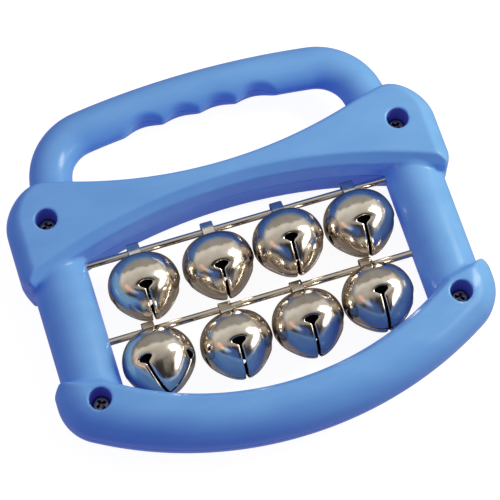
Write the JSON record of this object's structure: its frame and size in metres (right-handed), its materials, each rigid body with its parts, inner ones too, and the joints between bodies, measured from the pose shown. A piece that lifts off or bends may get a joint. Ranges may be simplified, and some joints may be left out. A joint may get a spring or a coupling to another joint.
{
  "type": "sleigh bells",
  "caption": "Hand-held plastic frame with a finger-grip handle, holding rows of hollow metal jingle bells that swing on rods.",
  "frame": {"origin": "centre of the bounding box's bottom face: the instrument lies flat on its back, with its rear faces on Z = 0", "axes": "+Z out of the front face, where the screw heads are; +Y from the bells towards the handle; X along the rods"},
  "size_m": [0.154, 0.138, 0.0283],
  "materials": {
    "blue_plastic": "glossy moulded plastic",
    "nickel": "bright nickel plate, warm",
    "screw_steel": "dark zinc-plated steel",
    "pellet_steel": "plain steel ball"
  },
  "bodies": {
    "frame": {"front_shell": "blue_plastic", "rear_shell": "blue_plastic", "screw_1": "screw_steel", "screw_2": "screw_steel", "screw_3": "screw_steel", "screw_4": "screw_steel", "upper_rod": "nickel", "lower_rod": "nickel"},
    "bell_1_body": {"bell_1": "nickel", "bell_1_loop": "nickel"},
    "bell_1_pellet_body": {"bell_1_pellet": "pellet_steel"},
    "bell_2_body": {"bell_2": "nickel", "bell_2_loop": "nickel"},
    "bell_2_pellet_body": {"bell_2_pellet": "pellet_steel"},
    "bell_3_body": {"bell_3": "nickel", "bell_3_loop": "nickel"},
    "bell_3_pellet_body": {"bell_3_pellet": "pellet_steel"},
    "bell_4_body": {"bell_4": "nickel", "bell_4_loop": "nickel"},
    "bell_4_pellet_body": {"bell_4_pellet": "pellet_steel"},
    "bell_5_body": {"bell_5": "nickel", "bell_5_loop": "nickel"},
    "bell_5_pellet_body": {"bell_5_pellet": "pellet_steel"},
    "bell_6_body": {"bell_6": "nickel", "bell_6_loop": "nickel"},
    "bell_6_pellet_body": {"bell_6_pellet": "pellet_steel"},
    "bell_7_body": {"bell_7": "nickel", "bell_7_loop": "nickel"},
    "bell_7_pellet_body": {"bell_7_pellet": "pellet_steel"},
    "bell_8_body": {"bell_8": "nickel", "bell_8_loop": "nickel"},
    "bell_8_pellet_body": {"bell_8_pellet": "pellet_steel"}
  },
  "joints": [
    {"name": "bell_1_swing", "type": "hinge", "parent": "frame", "child": "bell_1_body", "pos_m": [-0.03685, 0.0099, 0.014], "axis": [-1, 0, 0], "range_deg": [-47, 53]},
    {"name": "bell_1_pellet_roll", "type": "hinge", "parent": "bell_1_body", "child": "bell_1_pellet_body", "pos_m": [-0.03685, -0.00243, 0.01335], "axis": [-1, 0, 0], "range_deg": [-25, 200]},
    {"name": "bell_2_swing", "type": "hinge", "parent": "frame", "child": "bell_2_body", "pos_m": [-0.0104, 0.0099, 0.014], "axis": [-1, 0, 0], "range_deg": [-43.6, 56.4]},
    {"name": "bell_2_pellet_roll", "type": "hinge", "parent": "bell_2_body", "child": "bell_2_pellet_body", "pos_m": [-0.0104, -0.00237, 0.01262], "axis": [-1, 0, 0], "range_deg": [-25, 200]},
    {"name": "bell_3_swing", "type": "hinge", "parent": "frame", "child": "bell_3_body", "pos_m": [0.01475, 0.0099, 0.014], "axis": [-1, 0, 0], "range_deg": [-52.5, 47.5]},
    {"name": "bell_3_pellet_roll", "type": "hinge", "parent": "bell_3_body", "child": "bell_3_pellet_body", "pos_m": [0.01475, -0.00244, 0.01454], "axis": [-1, 0, 0], "range_deg": [-25, 200]},
    {"name": "bell_4_swing", "type": "hinge", "parent": "frame", "child": "bell_4_body", "pos_m": [0.0404, 0.0099, 0.014], "axis": [-1, 0, 0], "range_deg": [-48, 52]},
    {"name": "bell_4_pellet_roll", "type": "hinge", "parent": "bell_4_body", "child": "bell_4_pellet_body", "pos_m": [0.0404, -0.00244, 0.01357], "axis": [-1, 0, 0], "range_deg": [-25, 200]},
    {"name": "bell_5_swing", "type": "hinge", "parent": "frame", "child": "bell_5_body", "pos_m": [-0.04, -0.01885, 0.014], "axis": [-1, 0, 0], "range_deg": [-60, 40]},
    {"name": "bell_5_pellet_roll", "type": "hinge", "parent": "bell_5_body", "child": "bell_5_pellet_body", "pos_m": [-0.04, -0.03101, 0.01614], "axis": [-1, 0, 0], "range_deg": [-25, 200]},
    {"name": "bell_6_swing", "type": "hinge", "parent": "frame", "child": "bell_6_body", "pos_m": [-0.0131, -0.01885, 0.014], "axis": [-1, 0, 0], "range_deg": [-51.4, 48.6]},
    {"name": "bell_6_pellet_roll", "type": "hinge", "parent": "bell_6_body", "child": "bell_6_pellet_body", "pos_m": [-0.0131, -0.0322, 0.01433], "axis": [-1, 0, 0], "range_deg": [-25, 200]},
    {"name": "bell_7_swing", "type": "hinge", "parent": "frame", "child": "bell_7_body", "pos_m": [0.0123, -0.01885, 0.014], "axis": [-1, 0, 0], "range_deg": [-51, 49]},
    {"name": "bell_7_pellet_roll", "type": "hinge", "parent": "bell_7_body", "child": "bell_7_pellet_body", "pos_m": [0.0123, -0.0322, 0.01423], "axis": [-1, 0, 0], "range_deg": [-25, 200]},
    {"name": "bell_8_swing", "type": "hinge", "parent": "frame", "child": "bell_8_body", "pos_m": [0.0375, -0.01885, 0.014], "axis": [-1, 0, 0], "range_deg": [-57.5, 42.5]},
    {"name": "bell_8_pellet_roll", "type": "hinge", "parent": "bell_8_body", "child": "bell_8_pellet_body", "pos_m": [0.0375, -0.03109, 0.01561], "axis": [-1, 0, 0], "range_deg": [-25, 200]}
  ]
}
